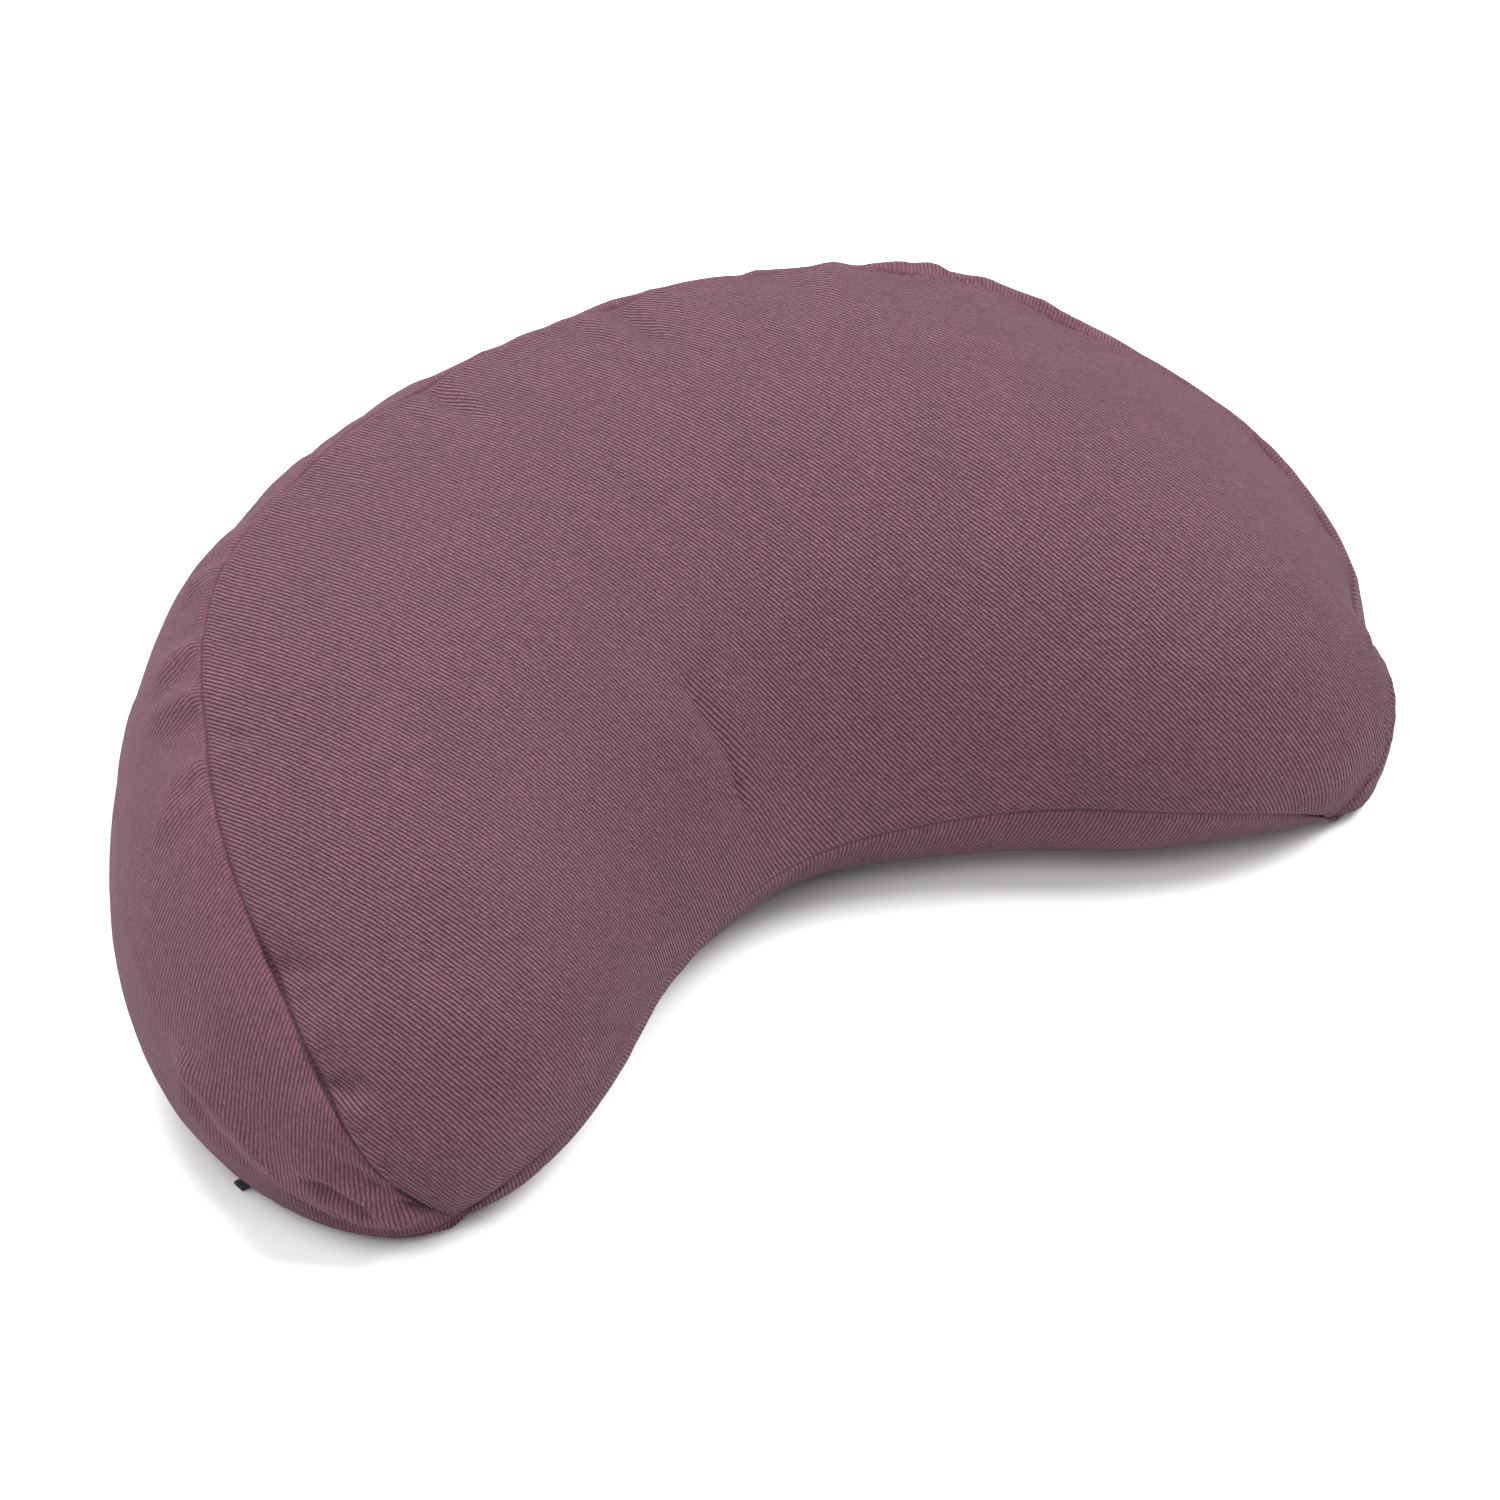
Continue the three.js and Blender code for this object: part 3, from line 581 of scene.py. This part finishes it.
# ------------------------------------------------------------------ the cushion
tips = np.array([OUTER_SEAM[0], OUTER_SEAM[0] * (-1, 1, 1)])
skin = grid + normals_of(grid) * (relief() + gathers())[..., None]
way = np.gradient(outer(U), axis=0) * (1, 1, 0)
side = unit(np.stack([way[:, 1], -way[:, 0], 0 * way[:, 0]], -1))
side *= np.sign((side * outer(U)).sum(1))[:, None]
beside = np.zeros(grid.shape[:2])
beside[:, : TOP + 1] = np.exp(-((NEAR["top"][1] / 15.0) ** 2))
beside[:, TOP : TOP + BAND + 1] = np.exp(-((NEAR["band"][0] / 34.0) ** 2))
skin += side[:, None] * (beside * np.interp(U, *zip(*EDGE))[:, None])[..., None]
skin += simulated(skin, tips)
skin += normals_of(skin) * seam_lines()[..., None]
under_flat = slice(TOP + BAND + HEEL, TOP + BAND + HEEL + FLAT + 1)
skin[:, under_flat, 2] = grid[:, under_flat, 2]
skin[..., 2] = np.maximum(skin[..., 2], grid[..., 2].min())
mesh, turned = body_mesh("cushion_skin", skin + SHIFT, tips + SHIFT, 0.001)
mesh.polygons.foreach_set("use_smooth", [True] * len(mesh.polygons))

RIBS = {"top": -64.0, "band": -68.5, "under": 80.0}


def corners(tables):
    """Values at the face corners from one table (rings x the panel's columns x 2) for each panel."""
    first, second = np.zeros((len(U), COLUMNS, 2)), np.zeros((len(U), COLUMNS, 2))
    for name, (a, b) in SPANS.items():
        first[:, a : b - 1], second[:, a : b - 1] = tables[name][:, :-1], tables[name][:, 1:]
    quads = np.stack([first[:-1], second[:-1], second[1:], first[1:]], 2).reshape(-1, 4, 2)
    ends = []
    for end, beside in ((0, 1), (-1, -2)):
        tip = np.zeros((COLUMNS, 2))
        for name, (a, b) in SPANS.items():
            tip[a : b - 1] = 2 * tables[name][end].mean(0) - tables[name][beside].mean(0)
        order = (tip, second[end], first[end]) if end == 0 else (tip, first[end], second[end])
        ends.append(np.stack(order, 1))
    fans = np.concatenate(ends)
    if turned:
        quads, fans = quads[:, ::-1], fans[:, ::-1]
    return np.concatenate([quads.reshape(-1, 2), fans.reshape(-1, 2)])


def rotated(m, degrees):
    a = math.radians(degrees)
    # x runs across the ribs and y along them
    return np.stack([m[..., 0] * math.sin(a) - m[..., 1] * math.cos(a), m[..., 0] * math.cos(a) + m[..., 1] * math.sin(a)], -1)


def beside_seams(name, seams):
    """Run along the nearer seam and distance from it, in mm. The band's distances start at 1000."""
    near, far = NEAR[name]
    run = np.where(near < far, RUN[seams[0]][:, None], RUN[seams[1]][:, None])
    return np.stack([run, np.minimum(near, far) + (1000.0 if name == "band" else 0.0)], -1)


def packed():
    """The three panels side by side in the unit square, for baking."""
    low = {k: m.reshape(-1, 2).min(0) for k, m in MAPS.items()}
    size = {k: np.ptp(m.reshape(-1, 2), axis=0) for k, m in MAPS.items()}
    gap = 12.0
    width = max(size["band"][0], size["top"][0] + size["under"][0] + gap) + 2 * gap
    out = {k: MAPS[k] - low[k] + gap for k in MAPS}
    out["under"][..., 0] += size["top"][0] + gap
    out["band"][..., 1] += max(size["top"][1], size["under"][1]) + gap
    return {k: m / width for k, m in out.items()}


for name, tables in (
    ("OFBake", packed()),
    ("Cloth", {k: rotated(m, RIBS[k]) for k, m in MAPS.items()}),
    ("Seam", {k: beside_seams(k, s) for k, s in (("top", ("inner", "outer")), ("band", ("outer", "lower")), ("under", ("lower", "inner")))}),
):
    layer = mesh.uv_layers.new(name=name)
    layer.data.foreach_set("uv", corners(tables).astype(np.float32).ravel())
mesh.uv_layers.active = mesh.uv_layers["OFBake"]
cushion = bpy.data.objects.new("cushion_skin", mesh)
bpy.context.scene.collection.objects.link(cushion)


# ------------------------------------------------------------------ materials
class Nodes:
    """Short names for the nodes of one material."""

    def __init__(self, name):
        self.material = bpy.data.materials.new(name)
        self.material.use_nodes = True
        self.tree = self.material.node_tree
        self.shader = self.tree.nodes["Principled BSDF"]

    def new(self, kind, **settings):
        node = self.tree.nodes.new(kind)
        for key, value in settings.items():
            setattr(node, key, value)
        return node

    def put(self, socket, value):
        if hasattr(value, "is_output"):
            self.tree.links.new(value, socket)
        else:
            socket.default_value = value

    def math(self, operation, *values, clamp=False):
        node = self.new("ShaderNodeMath", operation=operation, use_clamp=clamp)
        for socket, value in zip(node.inputs, values):
            self.put(socket, value)
        return node.outputs[0]

    def vector(self, x, y, z=0.0):
        node = self.new("ShaderNodeCombineXYZ")
        for socket, value in zip(node.inputs, (x, y, z)):
            self.put(socket, value)
        return node.outputs[0]

    def uv(self, name):
        node = self.new("ShaderNodeSeparateXYZ")
        self.put(node.inputs[0], self.new("ShaderNodeUVMap", uv_map=name).outputs[0])
        return node.outputs[0], node.outputs[1]

    def noise(self, vector, scale, detail=2.0, rough=0.5):
        node = self.new("ShaderNodeTexNoise", noise_dimensions="3D")
        self.put(node.inputs["Vector"], vector)
        self.put(node.inputs["Scale"], scale)
        self.put(node.inputs["Detail"], detail)
        self.put(node.inputs["Roughness"], rough)
        return node.outputs[0]

    def white(self, vector):
        node = self.new("ShaderNodeTexWhiteNoise", noise_dimensions="3D")
        self.put(node.inputs["Vector"], vector)
        return node.outputs[0]

    def mix(self, factor, a, b, kind="MIX"):
        node = self.new("ShaderNodeMix", data_type="RGBA", blend_type=kind)
        self.put(node.inputs[0], factor)
        self.put(node.inputs[6], a)
        self.put(node.inputs[7], b)
        return node.outputs[2]

    def between(self, value, a, b, low, high):
        node = self.new("ShaderNodeMapRange", clamp=True)
        for socket, v in zip(node.inputs, (value, a, b, low, high)):
            self.put(socket, v)
        return node.outputs[0]

    def bump(self, height, distance, strength=1.0):
        node = self.new("ShaderNodeBump")
        self.put(node.inputs["Strength"], strength)
        self.put(node.inputs["Distance"], distance)
        self.put(node.inputs["Height"], height)
        return node.outputs["Normal"]


# the ribs' colour, and a much darker colour that paints the shade in the grooves between them
SHADED_GROOVE = (0.031, 0.0080, 0.0135, 1.0)
RIDGE = (0.168, 0.0785, 0.0985, 1.0)


def twill():
    """Steep cotton twill: pinkish rounded ribs over grooves darkened with painted shade, with uneven, heathered yarns.
    """
    n = Nodes("plum_twill")
    x, y = n.uv("Cloth")
    run, gap = n.uv("Seam")
    on_band = n.math("GREATER_THAN", gap, 500.0)
    gap = n.math("SUBTRACT", gap, n.math("MULTIPLY", on_band, 1000.0))
    # the band's cloth is stretched round the bag, so its ribs stand out less
    crisp = n.math("SUBTRACT", 1.0, n.math("MULTIPLY", on_band, 0.33))
    # and less still where it turns into a seam
    crisp = n.math("MULTIPLY", crisp, n.between(gap, 0.2, 2.0, 0.4, 1.0))
    place = n.vector(x, y)
    # ribs wander a little and are never quite alike
    wander = n.math("MULTIPLY", n.math("SUBTRACT", n.noise(place, 0.045, 1.0), 0.5), 1.6)
    shake = n.math("MULTIPLY", n.math("SUBTRACT", n.noise(place, 0.75, 1.0), 0.5), 0.42)
    rib = n.math("DIVIDE", n.math("ADD", n.math("ADD", x, wander), shake), 1.31)
    number = n.math("FLOOR", rib)
    ridge = n.math("POWER", n.math("ABSOLUTE", n.math("SINE", n.math("MULTIPLY", rib, math.pi))), 1.15)
    # slanted floats along each rib
    lean = n.math("ADD", y, n.math("MULTIPLY", rib, 0.85))
    yarn = n.math("DIVIDE", n.math("ADD", lean, n.math("MULTIPLY", n.noise(place, 0.9, 0.0), 0.5)), 0.68)
    float_ = n.math("POWER", n.math("ABSOLUTE", n.math("SINE", n.math("MULTIPLY", yarn, math.pi))), 0.6)
    height = n.math("MULTIPLY", ridge, n.math("ADD", n.math("MULTIPLY", float_, 0.4), 0.6))
    grain = n.white(n.vector(number, n.math("FLOOR", yarn), 3.0))
    # slubs run along the slanted yarns, about 55 degrees from the ribs
    across = n.math("ADD", n.math("MULTIPLY", x, 0.82), n.math("MULTIPLY", y, 0.57))
    along = n.math("SUBTRACT", n.math("MULTIPLY", y, 0.82), n.math("MULTIPLY", x, 0.57))
    slub = n.noise(n.vector(n.math("MULTIPLY", across, 1.3), n.math("MULTIPLY", along, 0.07)), 1.0, 2.0)
    mottle = n.noise(place, 0.03, 3.0)
    speck = n.noise(place, 2.2, 2.0, 0.7)
    # painted shade: the colour darkens from the ribs' tops down into the grooves between them
    tone = n.math("ADD", 0.5, n.math("MULTIPLY", n.math("SUBTRACT", height, 0.5), crisp))
    base = n.mix(tone, SHADED_GROOVE, RIDGE)
    level = n.math("ADD", 0.55, n.math("MULTIPLY", grain, 0.30))
    level = n.math("ADD", level, n.math("MULTIPLY", slub, 0.26))
    level = n.math("ADD", level, n.math("MULTIPLY", speck, 0.30))
    level = n.math("MULTIPLY", level, n.math("ADD", 0.90, n.math("MULTIPLY", mottle, 0.2)))
    # painted shade: the cloth is darkened in the seam's fold, where shade falls
    level = n.math("MULTIPLY", level, n.between(gap, 0.05, 0.7, 0.58, 1.0))
    colour = n.mix(1.0, base, n.vector(level, level, level), "MULTIPLY")
    n.put(n.shader.inputs["Base Color"], colour)
    # fine puckers at the stitches
    wave = n.math("ADD", n.math("DIVIDE", run, 3.3), n.math("MULTIPLY", n.noise(n.vector(run, 0.0), 0.12, 1.0), 2.0))
    stitch = n.math("ADD", 0.5, n.math("MULTIPLY", n.math("COSINE", n.math("MULTIPLY", wave, 2 * math.pi)), 0.5))
    pull = n.math("MULTIPLY", stitch, n.math("MULTIPLY", n.between(gap, 0.3, 3.2, 1.0, 0.0), n.between(n.noise(n.vector(run, 0.0), 0.045, 1.0), 0.4, 0.62, 0.15, 0.9)))
    total = n.math("SUBTRACT", n.math("ADD", height, n.math("MULTIPLY", grain, 0.22)), n.math("MULTIPLY", pull, 0.15))
    n.put(n.shader.inputs["Normal"], n.bump(total, 0.00048, crisp))
    n.put(n.shader.inputs["Roughness"], 0.92)
    n.put(n.shader.inputs["Specular IOR Level"], 0.14)
    n.put(n.shader.inputs["Sheen Weight"], 0.06)
    n.put(n.shader.inputs["Sheen Roughness"], 0.55)
    n.put(n.shader.inputs["Sheen Tint"], (0.86, 0.80, 0.92, 1.0))
    return n.material


def tape():
    """Dark woven tape: fine warp lines crossed by a tight weft, with painted shade in the weave's hollows."""
    n = Nodes("dark_tape")
    x, y = n.uv("Tape")
    place = n.vector(x, y)
    warp = n.math("ABSOLUTE", n.math("SINE", n.math("MULTIPLY", x, math.pi / 0.42)))
    weft = n.math("ABSOLUTE", n.math("SINE", n.math("MULTIPLY", y, math.pi / 0.55)))
    height = n.math("MULTIPLY", warp, n.math("ADD", 0.6, n.math("MULTIPLY", weft, 0.4)))
    fade = n.noise(place, 1.5, 2.0)
    # painted shade: the weave's hollows are darker than its raised yarns; the noise is the tape's own uneven tone
    level = n.math("ADD", n.math("MULTIPLY", height, 0.5), n.math("MULTIPLY", fade, 0.5))
    colour = n.mix(level, (0.008, 0.007, 0.014, 1.0), (0.030, 0.027, 0.050, 1.0))
    n.put(n.shader.inputs["Base Color"], colour)
    n.put(n.shader.inputs["Normal"], n.bump(height, 0.0001))
    n.put(n.shader.inputs["Roughness"], 0.85)
    n.put(n.shader.inputs["Sheen Weight"], 0.1)
    return n.material


mesh.materials.append(twill())
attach(cushion, "root")
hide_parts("cushion")

# ------------------------------------------------------------------ the tab: a folded end of tape
TAB_AT, TAB_WIDTH, TAB_GAP, TAB_RISE, TAB_LENGTH, TAB_THICKNESS, TAB_FLOOR = 0.8975, 4.4, -1.4, 0.0, 4.0, 1.2, 0.25


def tab_mesh():
    """Tape folded once, with its two ends at the seam and its fold outwards."""
    ply = 0.5
    middle_low = [(0.0, TAB_RISE + ply / 2), (TAB_LENGTH * 0.35, TAB_RISE * 0.5 + 0.03 + ply / 2), (TAB_LENGTH - 1.3, 0.02 + ply / 2)]
    turn = [(TAB_LENGTH - 0.62 + 0.36 * math.sin(a), TAB_THICKNESS / 2 - 0.35 * math.cos(a)) for a in np.linspace(0, math.pi, 9)]
    middle_high = [(TAB_LENGTH - 1.3, TAB_THICKNESS - ply / 2), (TAB_LENGTH * 0.35, TAB_RISE * 0.5 + TAB_THICKNESS - ply / 2),
                   (0.0, TAB_RISE + TAB_THICKNESS - ply / 2)]
    key = np.array(middle_low + turn + middle_high)
    s = np.concatenate([[0], np.cumsum(np.linalg.norm(np.diff(key, axis=0), axis=1))])
    line = natural(s, key)(np.linspace(0, s[-1], 61))
    way = unit(np.gradient(line, axis=0))
    side = np.stack([way[:, 1], -way[:, 0]], 1)
    loop = np.concatenate([line + side * ply / 2, (line - side * ply / 2)[::-1]])
    runs = np.linspace(0, s[-1], 61)
    runs = np.concatenate([runs, runs[::-1]])
    across = np.linspace(-0.5, 0.5, 13) * TAB_WIDTH
    ring = len(loop)
    verts, uvs = [], []
    for k, w in enumerate(across):
        inset = 0.12 if k in (0, len(across) - 1) else 0.0
        mid = loop.mean(0)
        for m, (a, b) in enumerate(loop):
            verts.append((a - inset * np.sign(a - mid[0]) * 0.3, w, b))
            uvs.append((w, runs[m]))
    faces = []
    for k in range(len(across) - 1):
        for m in range(ring):
            o = (m + 1) % ring
            faces.append((k * ring + m, k * ring + o, (k + 1) * ring + o, (k + 1) * ring + m))
    # the two cut edges
    for k, turn_ in ((0, False), (len(across) - 1, True)):
        for m in range(ring // 2 - 1):
            f = (k * ring + m, k * ring + ring - 1 - m, k * ring + ring - 2 - m, k * ring + m + 1)
            faces.append(f[::-1] if turn_ else f)
    faces = [f[::-1] for f in faces]
    verts = np.array(verts)
    step = 1e-4
    p = lower(np.array([TAB_AT - step, TAB_AT, TAB_AT + step]))
    tangent = unit((p[2] - p[0]) * (1, 1, 0))
    out = np.array([tangent[1], -tangent[0], 0])
    if out @ (p[1] * (1, 1, 0)) < 0:
        out = -out
    along = np.cross([0, 0, 1], out)
    root = p[1] + out * TAB_GAP
    root[2] = TAB_FLOOR
    world = root + verts[:, :1] * out + verts[:, 1:2] * along + verts[:, 2:] * np.array([0, 0, 1])
    m = bpy.data.meshes.new("tab_tape")
    m.from_pydata(((world + SHIFT) / 1000).tolist(), [], faces)
    m.update()
    layer = m.uv_layers.new(name="Tape")
    for loop_ in m.loops:
        layer.data[loop_.index].uv = uvs[loop_.vertex_index]
    m.polygons.foreach_set("use_smooth", [True] * len(m.polygons))
    return m


tab = bpy.data.objects.new("tab_tape", tab_mesh())
bpy.context.scene.collection.objects.link(tab)
tab.data.materials.append(tape())
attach(tab, "root")
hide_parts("tab")


# ------------------------------------------------------------------ floor, light and camera
def plain(name, colour, rough=1.0):
    n = Nodes(name)
    n.put(n.shader.inputs["Base Color"], (*colour, 1.0))
    n.put(n.shader.inputs["Roughness"], rough)
    n.put(n.shader.inputs["Specular IOR Level"], 0.0)
    return n.material


half = 6.0
floor_mesh = bpy.data.meshes.new("floor")
floor_mesh.from_pydata([(-half, -half, -0.0004), (half, -half, -0.0004), (half, half, -0.0004), (-half, half, -0.0004)], [], [(0, 1, 2, 3)])
floor_mesh.materials.append(plain("pale_floor", (0.86, 0.86, 0.86)))
floor = bpy.data.objects.new("floor", floor_mesh)
bpy.context.scene.collection.objects.link(floor)


def softbox(turn, height, power, size=0.9, away=2.2):
    """A square softbox. turn: degrees round the cushion from the front, 90 is the right. height: degrees over the floor."""
    light = bpy.data.lights.new("softbox", "AREA")
    light.shape = "SQUARE"
    light.size = size
    light.energy = power
    ob = bpy.data.objects.new("softbox", light)
    a, b = math.radians(turn), math.radians(height)
    ob.location = (away * math.sin(a) * math.cos(b), -away * math.cos(a) * math.cos(b), away * math.sin(b))
    ob.rotation_euler = (Vector((0, 0, 0.05)) - ob.location).to_track_quat("-Z", "Y").to_euler()
    bpy.context.scene.collection.objects.link(ob)


for setup in ((0, 55, 12.0), (60, 55, 54.0), (180, 55, 51.0), (240, 55, 13.5), (300, 55, 9.5), (60, 22, 9.0),
              (240, 22, 17.0), (300, 22, 13.0)):
    softbox(*setup)
world = bpy.data.worlds.new("studio")
world.use_nodes = True
world.node_tree.nodes["Background"].inputs["Color"].default_value = (1, 1, 1, 1)
world.node_tree.nodes["Background"].inputs["Strength"].default_value = 0.03
scene = bpy.context.scene
scene.world = world
scene.view_settings.view_transform = "Standard"

camera_data = bpy.data.cameras.new("camera")
camera_data.lens, camera_data.sensor_width = 203.65, 36.0
camera_data.clip_end = 50
camera = bpy.data.objects.new("camera", camera_data)
right, up, forward = Vector((0.83093, -0.55637, 0)), Vector((0.36501, 0.54514, 0.75471)), Vector((0.4199, 0.62712, -0.65606))
turn = Matrix((right, up, -forward)).transposed().to_4x4()
camera.matrix_world = Matrix.Translation((-1.14449, -1.74247, 1.84431)) @ turn
scene.collection.objects.link(camera)
scene.camera = camera
